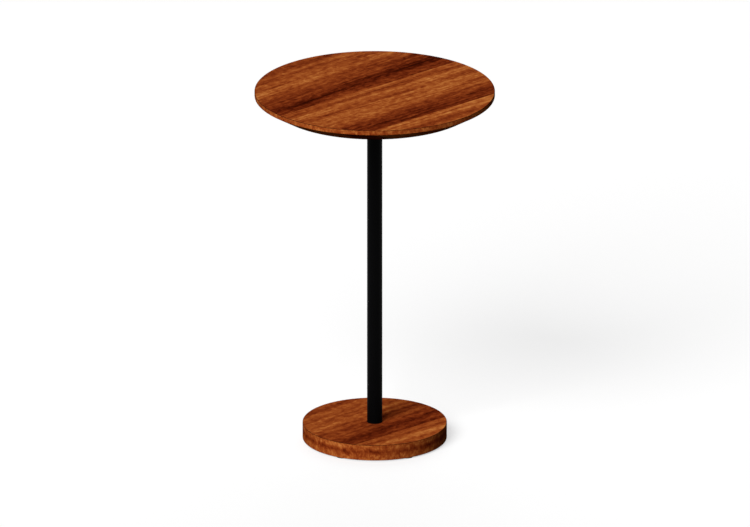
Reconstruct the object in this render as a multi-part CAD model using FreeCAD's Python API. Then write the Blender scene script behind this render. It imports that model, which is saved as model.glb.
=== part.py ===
import FreeCAD
import Part

import math
import os

# Round wine table: a bevelled timber top on a slim black post, with a weighted timber base.
# Millimetres. The origin is on the floor under the post, +Z is up and -Y is the front.

# Overall sizes
TABLE_HEIGHT = 612.0
TOP_DIAMETER = 400.0
TOP_THICKNESS = 27.0
EDGE_HEIGHT = 8.0  # upright part of the top's edge, above the bevel
BEVEL_ANGLE = 30.0  # slope of the bevel under the top, in degrees from level
BASE_DIAMETER = 240.0
BASE_THICKNESS = 27.0
ARRIS_CHAMFER = 0.8  # eased square corners of the timber

# Boards that the top and the base are glued up from
GRAIN_ANGLE = 43.0  # direction of the grain, in degrees from +X
TOP_FRONT_BOARD = 54.0  # width of the narrow front board, from the rim to its glue line
TOP_MIDDLE_JOINT = 15.0  # from the middle to the rear glue line of the top
BASE_FRONT_BOARD = 57.0  # width of the front board, from the rim to its glue line

# Post: round steel tube with a threaded plug in its foot
POST_DIAMETER = 25.4
POST_WALL = 1.6
SOCKET_DEPTH = 6.0  # how far the tube stands in the base
SOCKET_CLEARANCE = 0.1
PLUG_LENGTH = 25.0
PLUG_INSET = 0.5  # keeps the plug off the timber, so that the tube bears on it
PLUG_CLEARANCE = 0.02

# Plate welded to the head of the post
PLATE_THICKNESS = 4.0
PLATE_HOLE_CIRCLE = 96.0
PLATE_MARGIN = 12.0  # from the middle of a hole to the rim
PLATE_CHAMFER = 0.8
SLOT_TRAVEL = 3.0  # room for the timber to move across the grain, each way
WELD_LEG = 4.0
WELD_BULGE = 0.4  # how far the bead swells past a straight line

# Screws, washers and inserts that hold the plate to the top
TOP_SCREW_THREAD = 6.0
TOP_SCREW_HEAD = 10.5
TOP_SCREW_HEAD_HEIGHT = 3.3
TOP_SCREW_KEY = 4.0  # hexagon key, across its flats
TOP_SCREW_GRIP = 10.0  # length of thread in the insert
TOP_WASHER_DIAMETER = 18.0
TOP_WASHER_THICKNESS = 1.6
INSERT_DIAMETER = 10.0
INSERT_LENGTH = 13.0
INSERT_CHAMFER = 1.0
INSERT_HOLE_SPARE = 2.0  # depth left past the insert

# Bolt and washers that hold the post to the base
BASE_BOLT_THREAD = 8.0
BASE_BOLT_HEAD = 14.0
BASE_BOLT_HEAD_HEIGHT = 4.4
BASE_BOLT_KEY = 5.0  # hexagon key, across its flats
BASE_BOLT_GRIP = 14.4  # length of thread in the plug
BASE_WASHER_DIAMETER = 16.0
BASE_WASHER_THICKNESS = 1.6
SPRING_WASHER_DIAMETER = 14.8
SPRING_WASHER_THICKNESS = 2.0
SPRING_WASHER_SPLIT = 1.2
SPRING_WASHER_SLANT = 20.0  # of the split from upright, in degrees
HEAD_RECESS = 0.5  # how far the bolt's head stays inside the ballast
COUNTERBORE_CLEARANCE = 2.0  # round the washer

# Details that all the screws share
THREAD_CLEARANCE = 0.05
SHANK_CLEARANCE = 0.4  # round a screw in a plain hole
SCREW_HEAD_RIM = 0.5  # upright rim of a button head, above its dome
SCREW_TIP_CHAMFER = 0.8
KEY_DEPTH_SHARE = 0.6  # depth of the key's socket in the height of the head

# Steel ballast let into the underside of the base
RIM_WIDTH = 24.5  # timber left round the ballast
BALLAST_CLEARANCE = 0.5
BALLAST_INSET = 0.5  # how far the ballast lies above the underside
BALLAST_WEB = 3.5  # steel left over the bolt's counterbore
BALLAST_CHAMFER = 1.0
BALLAST_SCREW_COUNT = 3
BALLAST_SCREW_MARGIN = 20.0  # from the middle of a screw to the ballast's rim
WOOD_SCREW_DIAMETER = 4.5
WOOD_SCREW_HEAD = 8.8
WOOD_SCREW_HEAD_RIM = 0.4
WOOD_SCREW_BITE = 8.0  # length in the timber
WOOD_SCREW_TIP = 3.0
CROSS_SLOT_WIDTH = 1.0
CROSS_SLOT_LENGTH = 4.6
CROSS_SLOT_DEPTH = 1.6

# Felt pads under the rim
PAD_COUNT = 6
PAD_HEIGHT = 2.0
PAD_MARGIN = 2.25  # from a pad to either edge of the rim
PAD_CHAMFER = 0.4

# Levels and sizes that follow from those
CENTRE = FreeCAD.Vector(0, 0, 0)
UP = FreeCAD.Vector(0, 0, 1)
TOP_RADIUS = TOP_DIAMETER / 2
BASE_RADIUS = BASE_DIAMETER / 2
POST_RADIUS = POST_DIAMETER / 2
TOP_UNDERSIDE = TABLE_HEIGHT - TOP_THICKNESS
PLATE_UNDERSIDE = TOP_UNDERSIDE - PLATE_THICKNESS
TOP_SCREW_SEAT = PLATE_UNDERSIDE - TOP_WASHER_THICKNESS
BASE_UNDERSIDE = PAD_HEIGHT
BASE_FACE = BASE_UNDERSIDE + BASE_THICKNESS
SOCKET_FLOOR = BASE_FACE - SOCKET_DEPTH
PLUG_UNDERSIDE = SOCKET_FLOOR + PLUG_INSET
BALLAST_UNDERSIDE = BASE_UNDERSIDE + BALLAST_INSET
BOLT_SEAT = BALLAST_UNDERSIDE + HEAD_RECESS + BASE_BOLT_HEAD_HEIGHT
FLAT_WASHER_UNDERSIDE = BOLT_SEAT + SPRING_WASHER_THICKNESS
FLAT_WASHER_FACE = FLAT_WASHER_UNDERSIDE + BASE_WASHER_THICKNESS
BALLAST_FACE = FLAT_WASHER_FACE + BALLAST_WEB
RECESS_RADIUS = BASE_RADIUS - RIM_WIDTH
BALLAST_RADIUS = RECESS_RADIUS - BALLAST_CLEARANCE
PAD_CIRCLE_RADIUS = BASE_RADIUS - RIM_WIDTH / 2
TOP_JOINTS = [TOP_FRONT_BOARD - TOP_RADIUS, TOP_MIDDLE_JOINT]
BASE_JOINTS = [BASE_FRONT_BOARD - BASE_RADIUS]


def rounded_face(corners):
    """Face in the XZ plane from corners (x, z, radius), each rounded by a tangent arc of its radius."""
    points = [FreeCAD.Vector(x, 0, z) for x, z, _ in corners]
    arrivals, arcs, departures = [], [], []
    for i, corner in enumerate(points):
        radius = corners[i][2]
        back = (points[i - 1] - corner).normalize()
        ahead = (points[(i + 1) % len(points)] - corner).normalize()
        half_angle = back.getAngle(ahead) / 2
        run = radius / math.tan(half_angle)
        inward = radius / math.sin(half_angle) - radius
        arrivals.append(corner + back * run)
        arcs.append(corner + (back + ahead).normalize() * inward)
        departures.append(corner + ahead * run)
    edges = []
    for i, (_, _, radius) in enumerate(corners):
        if radius > 0:
            edges.append(Part.Arc(arrivals[i], arcs[i], departures[i]).toShape())
        edges.append(Part.LineSegment(departures[i], arrivals[(i + 1) % len(points)]).toShape())
    return Part.Face(Part.Wire(edges))


def turned(corners):
    """Solid of revolution about the Z axis from the corners of its half section."""
    return rounded_face(corners).revolve(CENTRE, UP, 360)


def rod(radius, bottom, top):
    """Upright cylinder on the Z axis between two levels."""
    return Part.makeCylinder(radius, top - bottom, UP * bottom, UP)


def ring(inner_radius, outer_radius, bottom, top):
    """Upright ring on the Z axis between two levels."""
    return rod(outer_radius, bottom, top).cut(rod(inner_radius, bottom, top))


def hexagon(across_flats, bottom, top):
    """Upright hexagonal prism on the Z axis between two levels."""
    corner_radius = across_flats / math.sqrt(3)
    turns = [math.radians(60 * i) for i in range(7)]
    points = [FreeCAD.Vector(math.cos(a), math.sin(a), 0) * corner_radius + UP * bottom for a in turns]
    return Part.Face(Part.makePolygon(points)).extrude(UP * (top - bottom))


def slot(radius, travel, bottom, top):
    """Upright slot along X with round ends, which lets a rod of its radius travel each way from the Z axis."""
    block = Part.makeBox(2 * travel, 2 * radius, top - bottom, FreeCAD.Vector(-travel, -radius, bottom))
    ends = [rod(radius, bottom, top).translated(FreeCAD.Vector(x, 0, 0)) for x in (-travel, travel)]
    return block.fuse(ends).removeSplitter()


def placed(shape, radius, angle):
    """Copy of a shape moved out along +X by a radius, then turned about the Z axis."""
    copy = shape.translated(FreeCAD.Vector(radius, 0, 0))
    copy.rotate(CENTRE, UP, angle)
    return copy


def on_circle(shape, radius, count, first_angle):
    """Evenly spaced copies of a shape on a circle about the Z axis."""
    return [placed(shape, radius, first_angle + 360 * i / count) for i in range(count)]


def along_grain(shape):
    """A shape at the two screws of the plate that lie along the grain."""
    return on_circle(shape, PLATE_HOLE_CIRCLE / 2, 2, GRAIN_ANGLE)


def across_grain(shape):
    """A shape at the two screws of the plate that lie across the grain."""
    return on_circle(shape, PLATE_HOLE_CIRCLE / 2, 2, GRAIN_ANGLE + 90)


def at_ballast_screws(shape):
    """A shape at each screw of the ballast, the first one to the rear across the grain."""
    radius = BALLAST_RADIUS - BALLAST_SCREW_MARGIN
    return on_circle(shape, radius, BALLAST_SCREW_COUNT, GRAIN_ANGLE + 90)


def cut_into_boards(panel, radius, joints):
    """The boards of a round panel, from the front one to the rear one.

    The glue lines between them run along the grain, at these places across it from the middle.
    """
    past_rim = 2 * radius
    limits = [-past_rim, *joints, past_rim]
    box = panel.BoundBox
    boards = []
    for front, rear in zip(limits, limits[1:]):
        corner = FreeCAD.Vector(-past_rim, front, box.ZMin)
        strip = Part.makeBox(2 * past_rim, rear - front, box.ZLength, corner)
        strip.rotate(CENTRE, UP, GRAIN_ANGLE)
        boards.append(panel.common(strip).Solids[0])
    return boards


def button_screw(thread, head, head_height, key, seat, tip):
    """Screw on the Z axis with its thread above the seat and below it a domed head with a hexagon socket."""
    foot = seat - head_height
    screw = turned(
        [
            (0, foot, 0),
            (head / 2, foot, head_height - SCREW_HEAD_RIM),
            (head / 2, seat, 0),
            (thread / 2, seat, 0),
            (thread / 2, tip - SCREW_TIP_CHAMFER, 0),
            (thread / 2 - SCREW_TIP_CHAMFER, tip, 0),
            (0, tip, 0),
        ]
    )
    return screw.cut(hexagon(key, foot, foot + KEY_DEPTH_SHARE * head_height))


def top_panel():
    """Round top with an upright edge, a bevel under it and blind holes for the inserts."""
    bevel_width = (TOP_THICKNESS - EDGE_HEIGHT) / math.tan(math.radians(BEVEL_ANGLE))
    panel = turned(
        [
            (0, TABLE_HEIGHT, 0),
            (TOP_RADIUS - ARRIS_CHAMFER, TABLE_HEIGHT, 0),
            (TOP_RADIUS, TABLE_HEIGHT - ARRIS_CHAMFER, 0),
            (TOP_RADIUS, TABLE_HEIGHT - EDGE_HEIGHT, 0),
            (TOP_RADIUS - bevel_width, TOP_UNDERSIDE, 0),
            (0, TOP_UNDERSIDE, 0),
        ]
    )
    depth = INSERT_LENGTH + INSERT_HOLE_SPARE
    hole = rod(INSERT_DIAMETER / 2 + THREAD_CLEARANCE, TOP_UNDERSIDE, TOP_UNDERSIDE + depth)
    return panel.cut(along_grain(hole) + across_grain(hole))


def top_insert():
    """Threaded sleeve in the timber, flush with the underside of the top."""
    bore = TOP_SCREW_THREAD / 2 + THREAD_CLEARANCE
    outside = INSERT_DIAMETER / 2
    end = TOP_UNDERSIDE + INSERT_LENGTH
    return turned(
        [
            (bore, TOP_UNDERSIDE, 0),
            (outside, TOP_UNDERSIDE, 0),
            (outside, end - INSERT_CHAMFER, 0),
            (outside - INSERT_CHAMFER, end, 0),
            (bore, end, 0),
        ]
    )


def top_screw():
    """Screw up through its washer and the plate into an insert."""
    tip = TOP_UNDERSIDE + TOP_SCREW_GRIP
    sizes = (TOP_SCREW_THREAD, TOP_SCREW_HEAD, TOP_SCREW_HEAD_HEIGHT, TOP_SCREW_KEY)
    return button_screw(*sizes, TOP_SCREW_SEAT, tip)


def top_washer():
    """Wide washer that bridges a slot of the plate."""
    bore = TOP_SCREW_THREAD / 2 + THREAD_CLEARANCE
    return ring(bore, TOP_WASHER_DIAMETER / 2, TOP_SCREW_SEAT, PLATE_UNDERSIDE)


def top_plate():
    """Round plate with a pair of plain holes along the grain and a pair of slots across it."""
    rim = PLATE_HOLE_CIRCLE / 2 + PLATE_MARGIN
    plate = turned(
        [
            (0, PLATE_UNDERSIDE, 0),
            (rim - PLATE_CHAMFER, PLATE_UNDERSIDE, 0),
            (rim, PLATE_UNDERSIDE + PLATE_CHAMFER, 0),
            (rim, TOP_UNDERSIDE, 0),
            (0, TOP_UNDERSIDE, 0),
        ]
    )
    hole_radius = TOP_SCREW_THREAD / 2 + SHANK_CLEARANCE
    plain_hole = rod(hole_radius, PLATE_UNDERSIDE, TOP_UNDERSIDE)
    long_hole = slot(hole_radius, SLOT_TRAVEL, PLATE_UNDERSIDE, TOP_UNDERSIDE)
    return plate.cut(along_grain(plain_hole) + across_grain(long_hole))


def plate_weld():
    """Fillet weld in the corner between the tube and the plate, slightly swollen."""
    corner = FreeCAD.Vector(POST_RADIUS, 0, PLATE_UNDERSIDE)
    out = corner + FreeCAD.Vector(WELD_LEG, 0, 0)
    down = corner - UP * WELD_LEG
    swell = (out + down) * 0.5 + (out + down - corner * 2).normalize() * WELD_BULGE
    edges = [
        Part.LineSegment(corner, out).toShape(),
        Part.Arc(out, swell, down).toShape(),
        Part.LineSegment(down, corner).toShape(),
    ]
    return Part.Face(Part.Wire(edges)).revolve(CENTRE, UP, 360)


def post_tube():
    """Round tube from the floor of its socket in the base to the plate."""
    return ring(POST_RADIUS - POST_WALL, POST_RADIUS, SOCKET_FLOOR, PLATE_UNDERSIDE)


def post_plug():
    """Threaded plug in the foot of the tube."""
    bore = BASE_BOLT_THREAD / 2 + THREAD_CLEARANCE
    outside = POST_RADIUS - POST_WALL - PLUG_CLEARANCE
    return ring(bore, outside, PLUG_UNDERSIDE, PLUG_UNDERSIDE + PLUG_LENGTH)


def base_panel():
    """Round base with a socket for the post, a hole for its bolt, a recess for the ballast and pilot holes."""
    panel = turned(
        [
            (0, BASE_UNDERSIDE, 0),
            (BASE_RADIUS - ARRIS_CHAMFER, BASE_UNDERSIDE, 0),
            (BASE_RADIUS, BASE_UNDERSIDE + ARRIS_CHAMFER, 0),
            (BASE_RADIUS, BASE_FACE - ARRIS_CHAMFER, 0),
            (BASE_RADIUS - ARRIS_CHAMFER, BASE_FACE, 0),
            (0, BASE_FACE, 0),
        ]
    )
    socket = rod(POST_RADIUS + SOCKET_CLEARANCE, SOCKET_FLOOR, BASE_FACE)
    bolt_hole = rod(BASE_BOLT_THREAD / 2 + SHANK_CLEARANCE, BASE_UNDERSIDE, BASE_FACE)
    recess = rod(RECESS_RADIUS, BASE_UNDERSIDE, BALLAST_FACE)
    pilot = rod(WOOD_SCREW_DIAMETER / 2 + THREAD_CLEARANCE, BALLAST_FACE, BALLAST_FACE + WOOD_SCREW_BITE)
    return panel.cut([socket, bolt_hole, recess, *at_ballast_screws(pilot)])


def countersunk_head(clearance):
    """Head of a wood screw, flush with the ballast's underside and grown outwards by a clearance."""
    head_radius = WOOD_SCREW_HEAD / 2 + clearance
    neck_radius = WOOD_SCREW_DIAMETER / 2 + clearance
    cone_foot = BALLAST_UNDERSIDE + WOOD_SCREW_HEAD_RIM
    cone_top = cone_foot + head_radius - neck_radius
    return turned(
        [
            (0, BALLAST_UNDERSIDE, 0),
            (head_radius, BALLAST_UNDERSIDE, 0),
            (head_radius, cone_foot, 0),
            (neck_radius, cone_top, 0),
            (0, cone_top, 0),
        ]
    )


def ballast_plate():
    """Steel disc with a counterbored hole in the middle and countersunk holes for its screws."""
    plate = turned(
        [
            (0, BALLAST_UNDERSIDE, 0),
            (BALLAST_RADIUS - BALLAST_CHAMFER, BALLAST_UNDERSIDE, 0),
            (BALLAST_RADIUS, BALLAST_UNDERSIDE + BALLAST_CHAMFER, 0),
            (BALLAST_RADIUS, BALLAST_FACE, 0),
            (0, BALLAST_FACE, 0),
        ]
    )
    bolt_hole = rod(BASE_BOLT_THREAD / 2 + SHANK_CLEARANCE, BALLAST_UNDERSIDE, BALLAST_FACE)
    counterbore = rod(
        BASE_WASHER_DIAMETER / 2 + COUNTERBORE_CLEARANCE, BALLAST_UNDERSIDE, FLAT_WASHER_FACE
    )
    shank_hole = rod(WOOD_SCREW_DIAMETER / 2 + SHANK_CLEARANCE, BALLAST_UNDERSIDE, BALLAST_FACE)
    screw_hole = countersunk_head(SHANK_CLEARANCE).fuse(shank_hole)
    return plate.cut([bolt_hole, counterbore, *at_ballast_screws(screw_hole)])


def ballast_screw():
    """Countersunk wood screw through the ballast, with a pointed tip and a cross in its head."""
    radius = WOOD_SCREW_DIAMETER / 2
    tip = BALLAST_FACE + WOOD_SCREW_BITE
    shank = turned(
        [
            (0, BALLAST_UNDERSIDE, 0),
            (radius, BALLAST_UNDERSIDE, 0),
            (radius, tip - WOOD_SCREW_TIP, 0),
            (0, tip, 0),
        ]
    )
    bar_corner = FreeCAD.Vector(-CROSS_SLOT_LENGTH / 2, -CROSS_SLOT_WIDTH / 2, BALLAST_UNDERSIDE)
    bar = Part.makeBox(CROSS_SLOT_LENGTH, CROSS_SLOT_WIDTH, CROSS_SLOT_DEPTH, bar_corner)
    return countersunk_head(0).fuse(shank).removeSplitter().cut([bar, placed(bar, 0, 90)])


def base_bolt():
    """Bolt up through its washers, the ballast and the timber into the plug."""
    tip = PLUG_UNDERSIDE + BASE_BOLT_GRIP
    sizes = (BASE_BOLT_THREAD, BASE_BOLT_HEAD, BASE_BOLT_HEAD_HEIGHT, BASE_BOLT_KEY)
    return button_screw(*sizes, BOLT_SEAT, tip)


def base_washer():
    """Flat washer under the ballast's web."""
    bore = BASE_BOLT_THREAD / 2 + THREAD_CLEARANCE
    return ring(bore, BASE_WASHER_DIAMETER / 2, FLAT_WASHER_UNDERSIDE, FLAT_WASHER_FACE)


def base_spring_washer():
    """Split ring between the bolt's head and the flat washer, pressed flat."""
    bore = BASE_BOLT_THREAD / 2 + THREAD_CLEARANCE
    washer = ring(bore, SPRING_WASHER_DIAMETER / 2, BOLT_SEAT, FLAT_WASHER_UNDERSIDE)
    height = SPRING_WASHER_DIAMETER
    corner = FreeCAD.Vector(0, -SPRING_WASHER_SPLIT / 2, -height / 2)
    split = Part.makeBox(SPRING_WASHER_DIAMETER, SPRING_WASHER_SPLIT, height, corner)
    split.rotate(CENTRE, FreeCAD.Vector(1, 0, 0), SPRING_WASHER_SLANT)
    return washer.cut(split.translated(UP * (BOLT_SEAT + SPRING_WASHER_THICKNESS / 2)))


def floor_pad():
    """Felt pad from the floor to the underside of the base, with its lower edge cut back."""
    radius = RIM_WIDTH / 2 - PAD_MARGIN
    return turned(
        [
            (0, 0, 0),
            (radius - PAD_CHAMFER, 0, 0),
            (radius, PAD_CHAMFER, 0),
            (radius, PAD_HEIGHT, 0),
            (0, PAD_HEIGHT, 0),
        ]
    )


def numbered(name, shapes):
    """Shapes by a name and a number that counts from 1."""
    return {f"{name}_{i}": shape for i, shape in enumerate(shapes, start=1)}


def table_pieces():
    """Every piece of the table by name, where it lies."""
    return {
        **numbered("top_board", cut_into_boards(top_panel(), TOP_RADIUS, TOP_JOINTS)),
        "top_inserts": Part.makeCompound(along_grain(top_insert()) + across_grain(top_insert())),
        "top_screws": Part.makeCompound(along_grain(top_screw()) + across_grain(top_screw())),
        "top_washers": Part.makeCompound(along_grain(top_washer()) + across_grain(top_washer())),
        "top_plate": top_plate(),
        "top_plate_weld": plate_weld(),
        "post_tube": post_tube(),
        "post_plug": post_plug(),
        **numbered("base_board", cut_into_boards(base_panel(), BASE_RADIUS, BASE_JOINTS)),
        "ballast_plate": ballast_plate(),
        "ballast_screws": Part.makeCompound(at_ballast_screws(ballast_screw())),
        "base_washer": base_washer(),
        "base_spring_washer": base_spring_washer(),
        "base_bolt": base_bolt(),
        **numbered("floor_pad", on_circle(floor_pad(), PAD_CIRCLE_RADIUS, PAD_COUNT, 0)),
    }


os.makedirs("parts", exist_ok=True)
for node, shape in table_pieces().items():
    shape.exportStep(f"parts/{node}.step")
    print(f"{node}: {len(shape.Solids)} solid(s), {shape.Volume / 1000:.2f} cm3, valid {shape.isValid()}")
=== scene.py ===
# %% [markdown]
# # A round wine table
# A disc of striped hardwood stands on a slim black tube, and the tube stands in a smaller, weighted
# disc. Plates, screws and pads that nobody sees from above hold it together and keep it upright.
# The frame already holds every solid at its real size, so this file dresses them: it turns smoother
# copies of the round pieces on a lathe made of nodes, and paints timber, steel and felt on them.

import math

import bmesh
import bpy
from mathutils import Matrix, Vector


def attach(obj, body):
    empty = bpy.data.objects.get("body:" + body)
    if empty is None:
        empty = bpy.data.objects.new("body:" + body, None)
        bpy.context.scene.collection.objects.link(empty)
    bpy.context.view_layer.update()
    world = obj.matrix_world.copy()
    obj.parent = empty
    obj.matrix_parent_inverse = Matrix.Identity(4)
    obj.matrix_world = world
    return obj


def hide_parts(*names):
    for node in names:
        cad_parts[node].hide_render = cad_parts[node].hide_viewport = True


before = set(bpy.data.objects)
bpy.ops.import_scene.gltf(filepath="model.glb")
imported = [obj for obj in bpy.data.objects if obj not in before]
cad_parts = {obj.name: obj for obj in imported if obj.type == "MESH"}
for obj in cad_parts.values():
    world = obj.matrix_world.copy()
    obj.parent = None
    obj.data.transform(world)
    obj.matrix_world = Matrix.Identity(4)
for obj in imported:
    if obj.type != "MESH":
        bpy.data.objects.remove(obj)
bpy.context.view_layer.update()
MM = 0.001

# %% [markdown]
# ## Reading sizes off the solids
# A dressed piece has to lie exactly where its solid lies. The sizes could be typed in again, but
# then they could drift apart, so the radii and levels are read from the solids' own corners.
# Everything here is round about the post, so a distance from the Z axis and a height say where a
# corner is.

# %% Measure the solids
TOP = ["top_board_1", "top_board_2", "top_board_3"]  # from the front
BASE = ["base_board_1", "base_board_2"]
PADS = [f"floor_pad_{i}" for i in range(1, 7)]
SAME_LEVEL = 0.01 * MM


def corners_of(nodes):
    """Distance from the post's axis and height of every corner of some solids."""
    found = [corner.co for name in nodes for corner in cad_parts[name].data.vertices]
    return [(math.hypot(co.x, co.y), co.z) for co in found]


def heights(nodes):
    """Lowest and highest level of some solids."""
    levels = [z for _, z in corners_of(nodes)]
    return min(levels), max(levels)


def radii(nodes, level=None):
    """Smallest and largest distance from the axis in some solids, at one level or anywhere."""
    found = [r for r, z in corners_of(nodes) if level is None or abs(z - level) < SAME_LEVEL]
    return min(found), max(found)


def circle_of(nodes):
    """Radius of the circle that a ring of like pieces stands on, and the radius of one piece."""
    near, far = radii(nodes)
    return (near + far) / 2, (far - near) / 2


top_underside, top_face = heights(TOP)
base_underside, base_face = heights(BASE)
top_radius = radii(TOP)[1]
base_radius = radii(BASE)[1]
print(f"top {2 * top_radius / MM:.1f} mm across, base {2 * base_radius / MM:.1f} mm across")

# %% [markdown]
# ## Camera
# The picture has no vanishing point: the rims of the top and the base are ellipses of one shape, so
# the view is parallel, from a little above level. An orthographic camera gives that. Its scale is
# the width of the picture in metres, and the middle of the picture falls on the post.

# %% Place the camera
VIEW_ELEVATION = math.radians(19.42)
VIEW_WIDTH = 1.2475
VIEW_CENTRE = Vector((0.0005, 0, 0.3075))
CAMERA_DISTANCE = 3.0

camera = bpy.data.objects.new("camera", bpy.data.cameras.new("camera"))
camera.data.type = "ORTHO"
camera.data.ortho_scale = VIEW_WIDTH
towards_camera = Vector((0, -math.cos(VIEW_ELEVATION), math.sin(VIEW_ELEVATION)))
camera.location = VIEW_CENTRE + towards_camera * CAMERA_DISTANCE
camera.rotation_euler = towards_camera.to_track_quat("Z", "Y").to_euler()
bpy.context.scene.collection.objects.link(camera)
bpy.context.scene.camera = camera
print(f"camera {math.degrees(VIEW_ELEVATION):.1f} degrees above level")

# %% [markdown]
# ## Building node trees
# Both the shapes and the finishes below are node trees. Writing each node by hand takes several
# lines, so one small function adds a node of any kind, sets it up, and gives back its outputs for
# the next node to use.

# %% One function for nodes
def add_node(tree, kind, inputs=None, stops=(), **settings):
    """Adds a node to a tree and returns its outputs.

    An input that is another node's output is linked, and any other value is set. The stops of a
    colour ramp, at least two and in order, are each a place from 0 to 1 and a colour.
    """
    made = tree.nodes.new(kind)
    for name, value in settings.items():
        setattr(made, name, value)
    for name, value in (inputs or {}).items():
        if isinstance(value, bpy.types.NodeSocket):
            tree.links.new(value, made.inputs[name])
        else:
            made.inputs[name].default_value = value
    for i, (place, colour) in enumerate(stops):
        elements = made.color_ramp.elements
        stop = elements[i] if i < 2 else elements.new(place)  # a new ramp has two stops
        stop.position = place
        stop.color = colour
    return made.outputs


# %% [markdown]
# Colours are written as sRGB hex values, as a paint chart or a picture gives them, and a shader
# works in linear light. One function turns the one into the other.

# %% Colours and empty materials
def linear(hex_colour):
    """Scene-linear colour of an sRGB hex value."""
    shares = [int(hex_colour[i : i + 2], 16) / 255 for i in (1, 3, 5)]
    return [c / 12.92 if c <= 0.04045 else ((c + 0.055) / 1.055) ** 2.4 for c in shares] + [1.0]


def empty_material(name):
    """New material without nodes."""
    material = bpy.data.materials.new(name)
    material.use_nodes = True
    material.node_tree.nodes.clear()
    return material


# %% [markdown]
# ## Hardwood
# The timber is a dense, oiled, red-brown hardwood, sawn so that its growth layers stand almost
# upright in the board. Its face shows straight stripes: pale straw-brown layers that shade into a
# nearly black heart, with thin dark veins among them and a mottle where the fibres lean to and fro.
# The oil soaks in and leaves no gloss.
#
# An image would stretch over the edges. Instead the finish is a solid one: each board has its own
# axes along the grain, across it and up, in millimetres, and everything is drawn in that space, so
# it runs through the board.

# %% Axes of a board
GRAIN_ANGLE = math.radians(43)  # the grain runs to the rear right, this far from +X


def board_axes(tree, rear_line, face, slide, skew):
    """Place in a board in mm: along the layers, across them from its rear edge, and up."""
    placing = {
        "Vector": add_node(tree, "ShaderNodeTexCoord")["Object"],
        "Scale": (1 / MM, 1 / MM, 1 / MM),
        "Rotation": (0, 0, math.pi - GRAIN_ANGLE - skew),
        "Location": (slide, -rear_line, -face / MM),
    }
    return add_node(tree, "ShaderNodeMapping", placing)["Vector"]


# %% [markdown]
# Wood is full of chance, but the chance has a direction: it is long along the grain and short
# across it. Noise in a space that is divided by the size of its cells does just that, and a figure
# is a handful of such noises, each with its cells and its reach. The same helper moves a layer by
# millimetres and a tone by hundredths.

# %% Noise along the grain
FIGURE_NOISE = {"Scale": 1.0, "Detail": 2.0, "Distortion": 0.4}
NOISE_MIDDLE = 0.5


def figure_noise(tree, place, label, cells):
    """Noise about 0 in cells of a size in mm: along the grain, across it and up."""
    in_cells = add_node(tree, "ShaderNodeVectorMath", {0: place, 1: cells}, operation="DIVIDE")[0]
    settings = {"Vector": in_cells} | FIGURE_NOISE
    noise = add_node(tree, "ShaderNodeTexNoise", settings, label=label)["Fac"]
    return add_node(tree, "ShaderNodeMath", {0: noise, 1: NOISE_MIDDLE}, operation="SUBTRACT")[0]


def add_figure(tree, place, value, figure, strength=1.0):
    """A value that each noise of a figure moves to and fro, by up to half its reach."""
    for label, (cells, reach) in figure.items():
        moved = {0: figure_noise(tree, place, label, cells), 1: reach * strength, 2: value}
        value = add_node(tree, "ShaderNodeMath", moved, operation="MULTIPLY_ADD")[0]
    return value


# %% [markdown]
# The layers lean a little and wander along the board. How pale or dark they are, from the rear edge
# of a board to its front edge, is a curve, and a colour ramp with grey stops holds it.

# %% Growth layers
LAYER_LEAN = 0.12  # mm sideways for each mm of depth
LAYER_MOVES = {"wander": ((260, 70, 60), 11), "ripple": ((14, 10, 16), 4)}  # cells and reach in mm


def layer_tone(tree, distance, layers):
    """Tone at a distance in layers, which are distances in mm and tones, in order."""
    width = layers[-1][0]
    share = add_node(tree, "ShaderNodeMath", {0: distance, 1: width}, operation="DIVIDE")[0]
    stops = [(mm / width, (tone, tone, tone, 1)) for mm, tone in layers]
    return add_node(tree, "ShaderNodeValToRGB", {"Fac": share}, stops)["Color"]


def face_layers(tree, place, layers):
    """Place measured in the layers as they wander, and their tone there."""
    axes = add_node(tree, "ShaderNodeSeparateXYZ", {0: place})
    leaning = {0: axes["Z"], 1: LAYER_LEAN, 2: axes["Y"]}
    across = add_node(tree, "ShaderNodeMath", leaning, operation="MULTIPLY_ADD")[0]
    across = add_figure(tree, place, across, LAYER_MOVES)
    place = add_node(tree, "ShaderNodeCombineXYZ", {"X": axes["X"], "Y": across, "Z": axes["Z"]})[0]
    return place, layer_tone(tree, across, layers)


# %% [markdown]
# On a face, blotches, a mottle, streaks and fibres lie on top of the layers, and veins and growth
# lines run through it as thin dark lines. Pores are dark too, and they are dents that a finger can
# feel. Some boards are streaky and others hardly, so each board sets the strength of its streaks
# and veins.

# %% Figure of a face
# Cells in mm, and how far each noise moves the tone.
FACE_FIGURE = {
    "blotches": ((110, 24, 30), 0.5),
    "mottle": ((13, 8, 12), 0.9),
    "flecks": ((7, 4, 6), 0.3),
    "fibres": ((45, 0.7, 3), 0.5),
}
STREAKS = {
    "broad streaks": ((170, 9, 40), 0.6),
    "fine streaks": ((120, 3, 14), 0.45),
}
# Cells in mm, the noise at which a line starts and is full, and how far it moves the tone. The
# pores are three times as wide as real ones, which are too fine to show.
VEINS = {
    "veins": ((240, 4.5, 24), (0.1, 0.2), -0.32),
    "growth lines": ((420, 3.2, 40), (0.08, 0.16), -0.16),
}
PORES = {"pores": ((9, 0.6, 0.6), (0.12, 0.22), -0.2)}


def add_lines(tree, place, tone, lines, strength=1.0):
    """A tone with dark lines in it, and where the last kind of line is."""
    for label, (cells, (start, full), shift) in lines.items():
        noise = figure_noise(tree, place, label, cells)
        line = {"Value": noise, "From Min": start, "From Max": full}
        line = add_node(tree, "ShaderNodeMapRange", line)[0]
        darker = {0: line, 1: shift * strength, 2: tone}
        tone = add_node(tree, "ShaderNodeMath", darker, operation="MULTIPLY_ADD")[0]
    return tone, line


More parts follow.
